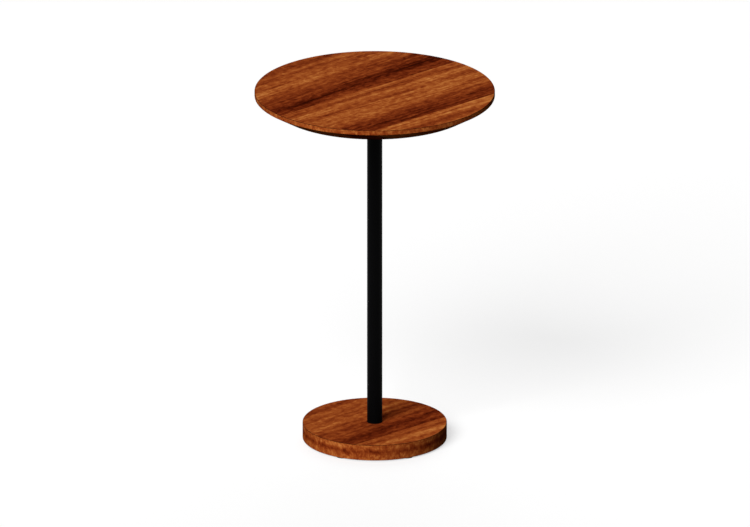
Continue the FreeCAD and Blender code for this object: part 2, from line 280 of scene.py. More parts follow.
def face_figure(tree, place, tone, streaks):
    """Tone of a face with its streaks and veins at some strength, and where its pores are."""
    tone = add_figure(tree, place, tone, FACE_FIGURE)
    tone = add_figure(tree, place, tone, STREAKS, streaks)
    tone = add_lines(tree, place, tone, VEINS, streaks)[0]
    return add_lines(tree, place, tone, PORES)


# %% [markdown]
# On the turned edges the cut goes across the fibres. The stripes of the face don't show there.
# Instead, one darker layer runs round at half the depth, under a mottle and short upright fibres,
# and the edge is painted redder, a painted shade tint for the redder look of the sides in shade.
# Where edge and face meet, the corner is eased, and a dark line of oil gathers on it. The surface's
# own normal tells the three apart.

# %% Colour of the hardwood
# Depth below the face in mm, and tone.
EDGE_LAYERS = [(0, 0.8), (6, 0.8), (12, 0.4), (18, 0.75), (27, 0.8)]
EDGE_MOVES = {"edge wander": ((60, 60, 60), 9)}
EDGE_FIGURE = {
    "edge mottle": ((9, 9, 9), 1.05),
    "edge flecks": ((3.5, 3.5, 6), 0.7),
    "edge fibres": ((0.7, 0.7, 4), 0.7),
}
# Painted shade: a redder tint on the edges, for the redder look of wood in shade.
EDGE_SHADE_TINT = "#FFEFE8"
CORNER_OIL = "#3A1709"
HARDWOOD_TONES = {
    -0.3: "#2A0902",
    0.0: "#421104",
    0.25: "#62220B",
    0.5: "#7F3614",
    0.75: "#984C1F",
    1.0: "#B56C33",
    1.3: "#CB8A4C",
}
DARKEST = min(HARDWOOD_TONES)
PALEST = max(HARDWOOD_TONES)
TONE_RANGE = PALEST - DARKEST
TONE_STOPS = [((tone - DARKEST) / TONE_RANGE, linear(dye)) for tone, dye in HARDWOOD_TONES.items()]
# The normal of a face rises by 1 and that of an edge by 0. An edge starts and is full at these
# rises, and the ramp of the corner's oil is on between face and edge.
EDGE_STARTS = 0.5
EDGE_FULL = 0.2
OFF = (0, 0, 0, 1)
ON = (1, 1, 1, 1)
CORNER_STOPS = [(0.0, OFF), (0.2, ON), (0.92, ON), (0.98, OFF)]
# Where a Mix node keeps its factor, its two colours and the mixed colour.
MIX_FACTOR = 0
MIX_FIRST = 6
MIX_SECOND = 7
MIXED = 2


def hardwood_colour(tree, place, face_tone):
    """Colour of a board on its faces, edges and corners."""
    up = add_node(tree, "ShaderNodeSeparateXYZ", {0: place})["Z"]
    depth = add_node(tree, "ShaderNodeMath", {0: up, 1: -1.0}, operation="MULTIPLY")[0]
    depth = add_figure(tree, place, depth, EDGE_MOVES)
    edge_tone = add_figure(tree, place, layer_tone(tree, depth, EDGE_LAYERS), EDGE_FIGURE)
    normal = add_node(tree, "ShaderNodeTexCoord")["Normal"]
    rise = add_node(tree, "ShaderNodeSeparateXYZ", {0: normal})["Z"]
    level = add_node(tree, "ShaderNodeMath", {0: rise}, operation="ABSOLUTE")[0]
    edges = {"Value": level, "From Min": EDGE_STARTS, "From Max": EDGE_FULL}
    on_edge = add_node(tree, "ShaderNodeMapRange", edges)[0]
    tone = {"Factor": on_edge, "A": face_tone, "B": edge_tone}
    tone = add_node(tree, "ShaderNodeMix", tone, data_type="FLOAT")[0]
    share = {"Value": tone, "From Min": DARKEST, "From Max": PALEST}
    share = add_node(tree, "ShaderNodeMapRange", share)[0]
    colour = add_node(tree, "ShaderNodeValToRGB", {"Fac": share}, TONE_STOPS)["Color"]
    # Painted shade: the edges are tinted redder, standing in for the redder look of wood in shade.
    shade_tinted = {MIX_FACTOR: on_edge, MIX_FIRST: colour, MIX_SECOND: linear(EDGE_SHADE_TINT)}
    colour = add_node(tree, "ShaderNodeMix", shade_tinted, data_type="RGBA", blend_type="MULTIPLY")[MIXED]
    on_corner = add_node(tree, "ShaderNodeValToRGB", {"Fac": rise}, CORNER_STOPS)["Color"]
    oiled = {MIX_FACTOR: on_corner, MIX_FIRST: colour, MIX_SECOND: linear(CORNER_OIL)}
    return add_node(tree, "ShaderNodeMix", oiled, data_type="RGBA")[MIXED]


# %% [markdown]
# Each board gets a material of its own, because each has its own layers. Oil leaves the wood dull,
# and duller in some fibres than in others, and pores and fibres leave a faint relief.

# %% One finish for a board
RELIEF_CELLS = (120, 3, 14)
PORE_DEPTH = 0.6  # as a share of the relief
RELIEF = {"Strength": 0.2, "Distance": 0.15 * MM}
DULLNESS = {"To Min": 0.5, "To Max": 0.8}  # roughness of the smoothest and of the dullest fibres


def hardwood(name, rear_line, face, layers, slide, skew=0.0, streaks=1.0):
    """Oiled hardwood of one board.

    rear_line is where the board's rear edge lies, in mm from the middle towards the front right,
    and face is the height of its upper face. layers gives the tone at distances from the rear edge,
    in mm. slide moves the figure along the grain, so that no two boards are alike, and skew turns
    the layers away from the glue line. streaks is the strength of streaks and veins.
    """
    material = empty_material(name)
    tree = material.node_tree
    place = board_axes(tree, rear_line, face, slide, skew)
    place, tone = face_layers(tree, place, layers)
    tone, pores = face_figure(tree, place, tone, streaks)
    fibres = figure_noise(tree, place, "fibre relief", RELIEF_CELLS)
    dull = {"Value": fibres, "From Min": -NOISE_MIDDLE, "From Max": NOISE_MIDDLE} | DULLNESS
    height = {0: pores, 1: -PORE_DEPTH, 2: fibres}
    height = add_node(tree, "ShaderNodeMath", height, operation="MULTIPLY_ADD")[0]
    surface = {
        "Base Color": hardwood_colour(tree, place, tone),
        "Roughness": add_node(tree, "ShaderNodeMapRange", dull)[0],
        "Normal": add_node(tree, "ShaderNodeBump", {"Height": height} | RELIEF)[0],
        "Specular IOR Level": 0.0,
    }
    shader = add_node(tree, "ShaderNodeBsdfPrincipled", surface)[0]
    add_node(tree, "ShaderNodeOutputMaterial", {"Surface": shader})
    return material


# %% [markdown]
# The rear boards of the top and of the base look as if sawn from one plank: both shade from
# straw-brown to a dark heart, and their layers lie a little out of line with the glue line. The
# boards in front of them open with narrow pale and brown stripes. The top's runs on into a dark
# band, and the base's is out of line the other way. The top's front board is narrow and pale, with
# a brown stripe. The base is hardly streaky. Each list runs from a board's rear edge to its front
# edge, as a distance in millimetres and a tone from 0, the heart, to 1.

# %% The five boards
TOP_REAR_LAYERS = [
    (0, 0.6), (12, 0.4), (24, 0.7), (38, 0.6), (48, 0.7), (58, 0.65), (73, 0.85), (88, 0.6),
    (96, 0.6), (111, 0.35), (120, 0.5), (134, 0.25), (143, 0.15), (149, 0.0), (157, 0.25),
    (166, 0.35), (177, 0.35),
]
TOP_MIDDLE_LAYERS = [
    (0, 0.75), (8, 0.7), (16, 0.5), (20, 0.6), (28, 0.85), (38, 0.8), (51, 0.6), (60, 0.75),
    (80, 0.8), (88, 0.7), (96, 0.75), (105, 0.65), (119, 0.4), (132, 0.35), (143, 0.25),
    (161, 0.3),
]
TOP_FRONT_LAYERS = [
    (0, 0.8), (8, 0.85), (12, 0.75), (20, 0.85), (27, 0.65), (34, 0.45), (42, 0.6), (54, 0.7),
]
BASE_REAR_LAYERS = [
    (0, 0.6), (12, 0.4), (24, 0.7), (40, 0.5), (48, 0.7), (58, 0.55), (67, 0.55), (77, 0.85),
    (88, 0.5), (96, 0.65), (103, 0.3), (112, 0.4), (120, 0.55), (140, 0.35), (149, 0.2),
    (154, 0.15), (160, 0.25), (167, 0.4), (173, 0.2), (177, 0.2),
]
BASE_FRONT_LAYERS = [
    (0, 0.6), (8, 0.75), (16, 0.45), (20, 0.6), (28, 0.9), (34, 0.95), (42, 0.65), (57, 0.65),
]
LAYER_SKEW = math.radians(2.5)
BASE_STREAKS = 0.25
# Glue lines, in mm from the middle towards the front right.
TOP_MIDDLE_LINE = -15.0
TOP_FRONT_LINE = 146.0
BASE_FRONT_LINE = 63.0
top_rear_line = TOP_MIDDLE_LINE - TOP_REAR_LAYERS[-1][0]
base_rear_line = BASE_FRONT_LINE - BASE_REAR_LAYERS[-1][0]

board_finish = {
    "top_board_3": hardwood(
        "hardwood_top_rear", top_rear_line, top_face, TOP_REAR_LAYERS, slide=350, skew=LAYER_SKEW
    ),
    "top_board_2": hardwood(
        "hardwood_top_middle", TOP_MIDDLE_LINE, top_face, TOP_MIDDLE_LAYERS, slide=2050
    ),
    "top_board_1": hardwood(
        "hardwood_top_front", TOP_FRONT_LINE, top_face, TOP_FRONT_LAYERS, slide=700
    ),
    "base_board_2": hardwood(
        "hardwood_base_rear", base_rear_line, base_face, BASE_REAR_LAYERS,
        slide=1500, skew=LAYER_SKEW, streaks=BASE_STREAKS,
    ),
    "base_board_1": hardwood(
        "hardwood_base_front", BASE_FRONT_LINE, base_face, BASE_FRONT_LAYERS,
        slide=2300, skew=-LAYER_SKEW, streaks=BASE_STREAKS,
    ),
}
print(f"{len(board_finish)} board finishes")

# %% [markdown]
# ## Metals and felt
# The other finishes are plain ones, each a Principled shader whose colour, gloss and relief come
# from one noise, so a line of colours and sizes can describe each of them. What differs is the size
# of the noise: an orange-peel skin a millimetre or two across, cloudy patches of a few millimetres,
# or fibres finer than a millimetre.

# %% Plain finishes
FINISH_NOISE = {"Detail": 3.0, "Roughness": 0.6}
NOISE_REACH = {"From Min": 0.3, "From Max": 0.7}  # the noise seldom goes further
BUMP_STRENGTH = 0.4


def noisy_finish(name, colours, cell, roughness, relief, **fixed):
    """A finish whose colour and roughness run between two values in noise of a cell size in mm.

    relief is the height of the same noise, in mm. fixed holds sockets that are the same all over,
    with _ for a space.
    """
    material = empty_material(name)
    tree = material.node_tree
    place = add_node(tree, "ShaderNodeTexCoord")["Object"]
    grain = {"Vector": place, "Scale": 1 / (cell * MM)} | FINISH_NOISE
    noise = add_node(tree, "ShaderNodeTexNoise", grain)["Fac"]
    clear = add_node(tree, "ShaderNodeMapRange", {"Value": noise} | NOISE_REACH)[0]
    mixed = {MIX_FACTOR: clear, MIX_FIRST: linear(colours[0]), MIX_SECOND: linear(colours[1])}
    gloss = {"Value": clear, "To Min": roughness[0], "To Max": roughness[1]}
    bump = {"Height": noise, "Strength": BUMP_STRENGTH, "Distance": relief * MM}
    surface = {
        "Base Color": add_node(tree, "ShaderNodeMix", mixed, data_type="RGBA")[MIXED],
        "Roughness": add_node(tree, "ShaderNodeMapRange", gloss)[0],
        "Normal": add_node(tree, "ShaderNodeBump", bump)[0],
    }
    surface.update({socket.replace("_", " "): value for socket, value in fixed.items()})
    shader = add_node(tree, "ShaderNodeBsdfPrincipled", surface)[0]
    add_node(tree, "ShaderNodeOutputMaterial", {"Surface": shader})
    return material


# Powder coat is baked on as dust: a deep matt black that hardly shines, with a faint orange peel.
powder_coat = noisy_finish(
    "black_powder_coat", ("#020202", "#060607"),
    cell=1.5, roughness=(0.42, 0.55), relief=0.02, Specular_IOR_Level=0.02,
)
# Bright zinc plate on the fasteners is a soft blue-grey metal with cloudy patches.
zinc = noisy_finish(
    "zinc_plate", ("#A2A7AB", "#BEC2C4"),
    cell=4.0, roughness=(0.25, 0.42), relief=0.01, Metallic=1.0,
)
# The ballast keeps the dark, patchy skin that hot rolling leaves on steel plate.
mill_scale = noisy_finish(
    "rolled_steel_skin", ("#3A3D42", "#565A60"),
    cell=14.0, roughness=(0.4, 0.6), relief=0.03, Metallic=1.0,
)
# Pressed wool felt is dull and fibrous, and mixes brown and grey.
felt = noisy_finish(
    "wool_felt", ("#2A2622", "#4A433C"), cell=0.8, roughness=(0.9, 1.0), relief=0.3
)
print("finishes:", ", ".join(m.name for m in bpy.data.materials))

# %% [markdown]
# ## A lathe of nodes
# Nearly every piece of this table is turned: the discs, the post, the screws, the washers and the
# pads. A Screw modifier could spin an outline, but a node tree can also ease the corners, cut the
# socket for a key, and repeat the piece round a circle. So the table has one tree for all of them,
# with these inputs.

# %% Inputs of the lathe
def new_tree(name, inputs):
    """Geometry node tree with named inputs, and the outputs that hand them on."""
    tree = bpy.data.node_groups.new(name, "GeometryNodeTree")
    for label, kind in inputs.items():
        tree.interface.new_socket(label, in_out="INPUT", socket_type=f"NodeSocket{kind}")
    tree.interface.new_socket("Geometry", in_out="OUTPUT", socket_type="NodeSocketGeometry")
    return tree, add_node(tree, "NodeGroupInput")


lathe, given = new_tree("Lathe", {
    "Geometry": "Geometry",
    "Segments": "Int",
    "Corner steps": "Int",
    "Bars": "Int",
    "Bar size": "Vector",
    "Bar level": "Float",
    "Count": "Int",
    "Circle radius": "Float",
    "First angle": "Float",
    "Spin": "Float",
    "Material": "Material",
})
print(f"lathe: {len(given) - 1} inputs")

# %% [markdown]
# The outline is a chain of edges whose points carry a rounding in the attribute "radius". The tree
# turns it into a curve, rounds its corners by that radius, and sweeps it along a circle. An outline
# of the axis itself would have to be swept along a circle of no size, so it is drawn at a distance
# that the sweep brings back to the axis.

# %% Turn an outline
LATHE_RADIUS = 0.1
SAME_POINT = 1e-6

outline = add_node(lathe, "GeometryNodeMeshToCurve", {"Mesh": given["Geometry"]})[0]
rounding = add_node(lathe, "GeometryNodeInputRadius")[0]
eased = {"Curve": outline, "Count": given["Corner steps"], "Radius": rounding, "Limit Radius": True}
outline = add_node(lathe, "GeometryNodeFilletCurve", eased, mode="POLY")[0]
spindle = {"Resolution": given["Segments"], "Radius": LATHE_RADIUS}
spindle = add_node(lathe, "GeometryNodeCurvePrimitiveCircle", spindle)[0]
turned = add_node(lathe, "GeometryNodeCurveToMesh", {"Curve": spindle, "Profile Curve": outline})[0]
merged = {"Geometry": turned, "Distance": SAME_POINT}
turned = add_node(lathe, "GeometryNodeMergeByDistance", merged)[0]

# %% [markdown]
# A hexagon socket is three crossed bars, and a cross slot is two, so one cut serves both: bar
# number i of n is turned by i/n of half a turn.

# %% Cut the socket for a key
index = add_node(lathe, "GeometryNodeInputIndex")[0]
bar_turn = add_node(lathe, "ShaderNodeMath", {0: index, 1: math.pi}, operation="MULTIPLY")[0]
bar_turn = add_node(lathe, "ShaderNodeMath", {0: bar_turn, 1: given["Bars"]}, operation="DIVIDE")[0]
bar_place = add_node(lathe, "ShaderNodeCombineXYZ", {"Z": given["Bar level"]})[0]
bar_points = {"Count": given["Bars"], "Position": bar_place}
crossed = {
    "Points": add_node(lathe, "GeometryNodePoints", bar_points)[0],
    "Instance": add_node(lathe, "GeometryNodeMeshCube", {"Size": given["Bar size"]})[0],
    "Rotation": add_node(lathe, "ShaderNodeCombineXYZ", {"Z": bar_turn})[0],
}
bars = add_node(lathe, "GeometryNodeInstanceOnPoints", crossed)[0]
bars = add_node(lathe, "GeometryNodeRealizeInstances", {0: bars})[0]
cut = {"Mesh 1": turned, "Mesh 2": bars, "Self Intersection": True}
piece = add_node(lathe, "GeometryNodeMeshBoolean", cut, operation="DIFFERENCE", solver="EXACT")[0]

# %% [markdown]
# Copy number i of n stands at i/n of a turn on a circle. A random turn about its own axis, with a
# fixed seed, keeps the sockets from all pointing one way, as a hand leaves them.

# %% Set the copies out
SPIN_SEED = 7
FLOAT_CHANCE = 1  # where the Random Value node keeps its single number

angle = add_node(lathe, "ShaderNodeMath", {0: index, 1: 2 * math.pi}, operation="MULTIPLY")[0]
angle = add_node(lathe, "ShaderNodeMath", {0: angle, 1: given["Count"]}, operation="DIVIDE")[0]
angle = add_node(lathe, "ShaderNodeMath", {0: angle, 1: given["First angle"]}, operation="ADD")[0]
outward = {
    "X": add_node(lathe, "ShaderNodeMath", {0: angle}, operation="COSINE")[0],
    "Y": add_node(lathe, "ShaderNodeMath", {0: angle}, operation="SINE")[0],
}
outward = {0: add_node(lathe, "ShaderNodeCombineXYZ", outward)[0], "Scale": given["Circle radius"]}
place = add_node(lathe, "ShaderNodeVectorMath", outward, operation="SCALE")[0]
chance = add_node(lathe, "FunctionNodeRandomValue", {"Seed": SPIN_SEED}, data_type="FLOAT")
own_turn = {0: chance[FLOAT_CHANCE], 1: given["Spin"], 2: angle}
own_turn = add_node(lathe, "ShaderNodeMath", own_turn, operation="MULTIPLY_ADD")[0]
copy_points = {"Count": given["Count"], "Position": place}
copies = {
    "Points": add_node(lathe, "GeometryNodePoints", copy_points)[0],
    "Instance": piece,
    "Rotation": add_node(lathe, "ShaderNodeCombineXYZ", {"Z": own_turn})[0],
}
copies = add_node(lathe, "GeometryNodeInstanceOnPoints", copies)[0]
copies = add_node(lathe, "GeometryNodeRealizeInstances", {0: copies})[0]
finished = {"Geometry": copies, "Material": given["Material"]}
copies = add_node(lathe, "GeometryNodeSetMaterial", finished)[0]
add_node(lathe, "NodeGroupOutput", {"Geometry": copies})
print(f"lathe: {len(lathe.nodes)} nodes")

# %% [markdown]
# A tree works on an object, so each outline becomes an object, gets the tree as a modifier, and is
# then made a plain mesh. Inputs are set by their identifiers, because names can repeat. The mesh is
# tidied at once: doubles are merged, and faces point outwards.

# %% Run a tree
def link_mesh(name, mesh):
    """New object at the origin with a mesh."""
    made = bpy.data.objects.new(name, mesh)
    bpy.context.scene.collection.objects.link(made)
    return made


def run_modifiers(made):
    """Replaces an object's mesh with what its modifiers make of it, tidied, and removes them."""
    bpy.context.view_layer.update()
    graph = bpy.context.evaluated_depsgraph_get()
    mesh = bpy.data.meshes.new_from_object(made.evaluated_get(graph))
    made.modifiers.clear()
    made.data = mesh
    work = bmesh.new()
    work.from_mesh(mesh)
    bmesh.ops.remove_doubles(work, verts=work.verts, dist=SAME_POINT)
    bmesh.ops.recalc_face_normals(work, faces=work.faces)
    work.to_mesh(mesh)
    work.free()
    return made


def run_tree(made, tree, inputs):
    """Runs a node tree on an object, with its inputs by name."""
    worker = made.modifiers.new(tree.name, "NODES")
    worker.node_group = tree
    for socket in tree.interface.items_tree:
        if socket.in_out == "INPUT" and socket.name in inputs:
            worker[socket.identifier] = inputs[socket.name]
    return run_modifiers(made)


# %% [markdown]
# Now the lathe can be worked like a tool. It takes the corners of half a section, from the axis to
# the axis, or all the way round for a ring.

# %% Work the lathe
DISC_SEGMENTS = 256
CORNER_STEPS = 5


def turn(name, corners, finish=None, ring=False, segments=DISC_SEGMENTS, **inputs):
    """Object turned from the corners of its half section, each a radius, a level and a rounding.

    An outline ends on the axis, or closes on itself if it is a ring. Other inputs of the tree go by
    their names, with _ for a space.
    """
    mesh = bpy.data.meshes.new(name)
    links = [(i, i + 1) for i in range(len(corners) - 1)]
    if ring:
        links.append((len(corners) - 1, 0))
    points = [(radius - LATHE_RADIUS, -level, 0) for radius, level, _ in corners]
    mesh.from_pydata(points, links, [])
    roundings = mesh.attributes.new("radius", "FLOAT", "POINT")
    roundings.data.foreach_set("value", [rounding for _, _, rounding in corners])
    sizes = {"Segments": segments, "Corner steps": CORNER_STEPS, "Count": 1, "Bars": 0}
    sizes["Material"] = finish
    sizes.update({label.replace("_", " "): value for label, value in inputs.items()})
    return run_tree(link_mesh(name, mesh), lathe, sizes)


# %% [markdown]
# A drill is a cutter from the same lathe and a Boolean modifier. A cutter reaches past both ends of
# its hole, because a cut that ends in the plane of a face can leave slivers. For a slot it is
# pulled apart: the half nearer to the post moves in, and the other half moves out.

# %% Drill holes
HOLE_SPARE = 2 * MM
HOLE_SEGMENTS = 48


def straight_hole(radius, foot, top):
    """Outline of a cutter for a round hole, with something to spare at both ends."""
    low, high = foot - HOLE_SPARE, top + HOLE_SPARE
    return [(0, low, 0), (radius, low, 0), (radius, high, 0), (0, high, 0)]


def drill(made, outline, travel=0.0, **ring):
    """Cuts a ring of holes in a piece, or slots that are longer at either end by their travel."""
    cutter = turn("cutter", outline, segments=HOLE_SEGMENTS, **ring)
    for corner in cutter.data.vertices:
        outward = Vector((corner.co.x, corner.co.y, 0))
        beyond = outward.length - ring["Circle_radius"]
        corner.co += outward.normalized() * math.copysign(travel, beyond)
    cut = made.modifiers.new("holes", "BOOLEAN")
    cut.object = cutter
    cut.solver = "EXACT"
    run_modifiers(made)
    bpy.data.objects.remove(cutter)


# %% [markdown]
# A finished piece is shaded smooth, except at sharp edges, and a Weighted Normal modifier lets wide
# faces win over narrow ones, so that flats shade flat while their rims shade round. Then it takes
# the place of its solids.

# %% Dress a piece
CRISP_ANGLE = math.radians(40)


def dress(made, nodes):
    """Shades a finished piece and lets it stand for its solids."""
    made.data.shade_smooth()
    made.data.set_sharp_from_angle(angle=CRISP_ANGLE)
    made.modifiers.new("flat faces", "WEIGHTED_NORMAL").keep_sharp = True
    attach(made, "root")
    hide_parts(*nodes)
    print(f"{made.name}: {len(made.data.polygons)} faces, for {', '.join(nodes)}")


# %% [markdown]
# ## Top and base
# Both discs are glued up from boards, turned round, and eased at the corners by a touch of
# sandpaper. The top is bevelled below, so that it looks thin. Turning the whole disc first and
# sawing it into boards afterwards keeps the rims true across the glue lines.

# %% Turn the two discs
ARRIS = 0.8 * MM
SOCKET_EDGE = 0.2 * MM
RECESS_EDGE = 0.3 * MM

edge_foot = min(z for r, z in corners_of(TOP) if r > top_radius - SAME_LEVEL)
flat_radius = radii(TOP, top_underside)[1]
top_disc = turn("top_disc", [
    (0, top_face, 0),
    (top_radius, top_face, ARRIS),
    (top_radius, edge_foot, ARRIS),
    (flat_radius, top_underside, ARRIS),
    (0, top_underside, 0),
])

socket_floor = heights(["post_tube"])[0]
recess_ceiling = heights(["ballast_plate"])[1]
socket_radius = radii(BASE, base_face)[0]
recess_radius = radii(BASE, base_underside)[0]
bolt_hole = radii(BASE, socket_floor)[0]
base_disc = turn("base_disc", [
    (socket_radius, base_face, SOCKET_EDGE),
    (base_radius, base_face, ARRIS),
    (base_radius, base_underside, ARRIS),
    (recess_radius, base_underside, RECESS_EDGE),
    (recess_radius, recess_ceiling, 0),
    (bolt_hole, recess_ceiling, 0),
    (bolt_hole, socket_floor, 0),
    (socket_radius, socket_floor, 0),
], ring=True)
edge_depth = (top_face - edge_foot) / MM
socket_depth = (base_face - socket_floor) / MM
print(f"top edge {edge_depth:.1f} mm deep, socket {socket_depth:.1f} mm deep")

# %% [markdown]
# The top has four holes for threaded inserts, and the base has three pilot holes for the ballast's
# screws. Both rings are set out from the grain, as the screws that go into them will be.

# %% Drill the discs
screw_circle = circle_of(["top_screws"])[0]
on_plate = {"Count": 4, "Circle_radius": screw_circle, "First_angle": GRAIN_ANGLE}
insert_radius = circle_of(["top_inserts"])[1]
drill(top_disc, straight_hole(insert_radius, *heights(["top_inserts"])), **on_plate)

WOOD_SCREW_RADIUS = 2.25 * MM
ballast_circle, ballast_head = circle_of(["ballast_screws"])
on_ballast = {"Count": 3, "Circle_radius": ballast_circle, "First_angle": GRAIN_ANGLE + math.pi / 2}
ballast_tip = heights(["ballast_screws"])[1]
pilot_hole = straight_hole(WOOD_SCREW_RADIUS, recess_ceiling, ballast_tip - HOLE_SPARE)
drill(base_disc, pilot_hole, **on_ballast)
print(f"screws on circles of {2 * screw_circle / MM:.0f} and {2 * ballast_circle / MM:.0f} mm")

# %% [markdown]
# The glue lines are straight, so a plane can saw along them. Each board's own solid says where its
# two lines lie. A bisect throws away what is outside, and filling the open rim closes the board
# again.

# %% Saw the discs into boards
ACROSS = Vector((math.sin(GRAIN_ANGLE), -math.cos(GRAIN_ANGLE), 0))  # to the front right


def saw(disc, node):
    """Cuts the board that stands for a solid out of a disc and dresses it."""
    reach = [corner.co.dot(ACROSS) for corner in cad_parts[node].data.vertices]
    work = bmesh.new()
    work.from_mesh(disc.data)
    for place, outside in ((min(reach), -ACROSS), (max(reach), ACROSS)):
        every = work.verts[:] + work.edges[:] + work.faces[:]
        plane = {"plane_co": ACROSS * place, "plane_no": outside}
        bmesh.ops.bisect_plane(work, geom=every, clear_outer=True, **plane)
        rim = [edge for edge in work.edges if edge.is_boundary]
        bmesh.ops.holes_fill(work, edges=rim, sides=0)
    mesh = bpy.data.meshes.new(node)
    work.to_mesh(mesh)
    work.free()
    mesh.materials.append(board_finish[node])
    dress(run_modifiers(link_mesh(f"{node}_timber", mesh)), [node])


for disc, nodes in ((top_disc, TOP), (base_disc, BASE)):
    for node in nodes:
        saw(disc, node)
    bpy.data.objects.remove(disc)

# %% [markdown]
# ## Post, head plate and ballast
# The post is plain round steel tube, cut square, with the burr taken off its foot.

# %% Turn the post
TUBE_EDGE = 0.3 * MM
POST_SEGMENTS = 128

post_foot, post_head = heights(["post_tube"])
bore_radius, post_radius = radii(["post_tube"])
post = turn("post", [
    (post_radius, post_foot, TUBE_EDGE),
    (post_radius, post_head, 0),
    (bore_radius, post_head, 0),
    (bore_radius, post_foot, TUBE_EDGE),
], powder_coat, ring=True, segments=POST_SEGMENTS)
dress(post, ["post_tube"])

# %% [markdown]
# A plate is welded on the post's head. Two of its four holes are slots, so that the timber can
# swell across the grain without splitting.

# %% Turn and drill the head plate
PLATE_EDGE = 0.8 * MM
HOLE_RADIUS = 3.4 * MM
SLOT_TRAVEL = 3 * MM

plate_foot, plate_top = heights(["top_plate"])
plate_radius = radii(["top_plate"])[1]
plate = turn("head_plate", [
    (0, plate_foot, 0),
    (plate_radius, plate_foot, PLATE_EDGE),
    (plate_radius, plate_top, 0),
    (0, plate_top, 0),
], powder_coat, segments=POST_SEGMENTS)
plate_hole = straight_hole(HOLE_RADIUS, plate_foot, plate_top)
for first_angle, travel in ((GRAIN_ANGLE, 0.0), (GRAIN_ANGLE + math.pi / 2, SLOT_TRAVEL)):
    drill(plate, plate_hole, travel, Count=2, Circle_radius=screw_circle, First_angle=first_angle)
dress(plate, ["top_plate"])

# %% [markdown]
# The ballast is a heavy steel disc in the hollow of the base. It is counterbored for the post's
# bolt and countersunk for its own screws, and the countersink is a cutter with a cone on it.

# %% Turn and drill the ballast
BALLAST_EDGE = 1.0 * MM
BURR = 0.4 * MM
SCREW_ROOM = 0.3 * MM
HEAD_RIM = 0.4 * MM
BALLAST_SEGMENTS = 192

ballast_foot, ballast_top = heights(["ballast_plate"])
ballast_bore = radii(["ballast_plate"], ballast_top)[0]
counterbore = radii(["ballast_plate"], ballast_foot)[0]
counterbore_ceiling = heights(["base_washer"])[1]
ballast_radius = radii(["ballast_plate"])[1]
ballast = turn("ballast", [
    (counterbore, ballast_foot, BURR),
    (ballast_radius, ballast_foot, BALLAST_EDGE),
    (ballast_radius, ballast_top, BURR),
    (ballast_bore, ballast_top, 0),
    (ballast_bore, counterbore_ceiling, 0),
    (counterbore, counterbore_ceiling, 0),
], mill_scale, ring=True, segments=BALLAST_SEGMENTS)

rim_top = ballast_foot + HEAD_RIM
cone_top = rim_top + ballast_head - WOOD_SCREW_RADIUS
mouth = ballast_head + SCREW_ROOM
shank = WOOD_SCREW_RADIUS + SCREW_ROOM
countersink = [
    (0, ballast_foot - HOLE_SPARE, 0),
    (mouth, ballast_foot - HOLE_SPARE, 0),
    (mouth, rim_top, 0),
    (shank, cone_top, 0),
    (shank, ballast_top + HOLE_SPARE, 0),
    (0, ballast_top + HOLE_SPARE, 0),
]
drill(ballast, countersink, **on_ballast)
dress(ballast, ["ballast_plate"])

# %% [markdown]
# ## Weld
# A weld between tube and plate is laid in short steps, and each step leaves a ripple like a coin
# leaning on the last. Modelling each ripple would be long work. The bead follows a circle, so a
# second tree sweeps its section along that circle and scales it by a saw-tooth that repeats with
# every ripple.

# %% The tree of the weld
STEPS_PER_RIPPLE = 8

welder, given = new_tree("Welder", {
    "Geometry": "Geometry",
    "Radius": "Float",
    "Level": "Float",
    "Ripples": "Int",
    "Ripple depth": "Float",
    "Material": "Material",
})
steps = {0: given["Ripples"], 1: STEPS_PER_RIPPLE}
steps = add_node(welder, "ShaderNodeMath", steps, operation="MULTIPLY")[0]
path = {"Resolution": steps, "Radius": given["Radius"]}
path = add_node(welder, "GeometryNodeCurvePrimitiveCircle", path)[0]
along = add_node(welder, "GeometryNodeSplineParameter")["Factor"]
ripple = {0: along, 1: given["Ripples"]}
ripple = add_node(welder, "ShaderNodeMath", ripple, operation="MULTIPLY")[0]
tooth = add_node(welder, "ShaderNodeMath", {0: ripple}, operation="FRACT")[0]
tooth = {0: tooth, 1: given["Ripple depth"]}
tooth = add_node(welder, "ShaderNodeMath", tooth, operation="MULTIPLY")[0]
section = add_node(welder, "GeometryNodeMeshToCurve", {"Mesh": given["Geometry"]})[0]
swept = {
    "Curve": path,
    "Profile Curve": section,
    "Scale": add_node(welder, "ShaderNodeMath", {0: 1.0, 1: tooth}, operation="SUBTRACT")[0],
}
bead = add_node(welder, "GeometryNodeCurveToMesh", swept)[0]
lift = add_node(welder, "ShaderNodeCombineXYZ", {"Z": given["Level"]})[0]
bead = add_node(welder, "GeometryNodeTransform", {"Geometry": bead, "Translation": lift})[0]
bead = add_node(welder, "GeometryNodeRealizeInstances", {0: bead})[0]
finished = {"Geometry": bead, "Material": given["Material"]}
bead = add_node(welder, "GeometryNodeSetMaterial", finished)[0]
add_node(welder, "NodeGroupOutput", {"Geometry": bead})
print(f"welder: {len(welder.nodes)} nodes")

# %% [markdown]
# The section of the bead is a corner between tube and plate with a slightly swollen face. Its face
# is a straight line from leg to leg with half a sine wave on it.

# %% Lay the weld
FACE_STEPS = 6
BULGE = 0.2  # rise of the bead's face above a straight one, as a share of the leg
RIPPLES = {"Ripples": 38, "Ripple depth": 0.14}

weld_leg = post_head - heights(["top_plate_weld"])[0]
section_points = [(0, 0, 0)]
for i in range(FACE_STEPS + 1):
    share = i / FACE_STEPS
    rise = BULGE * math.sin(math.pi * share) / math.sqrt(2)
    section_points.append((weld_leg * (1 - share + rise), weld_leg * (share + rise), 0))
links = [(i, (i + 1) % len(section_points)) for i in range(len(section_points))]
mesh = bpy.data.meshes.new("weld_bead")
mesh.from_pydata(section_points, links, [])
bead_sizes = {"Radius": post_radius, "Level": post_head, "Material": powder_coat} | RIPPLES
weld = run_tree(link_mesh("weld_bead", mesh), welder, bead_sizes)
dress(weld, ["top_plate_weld"])

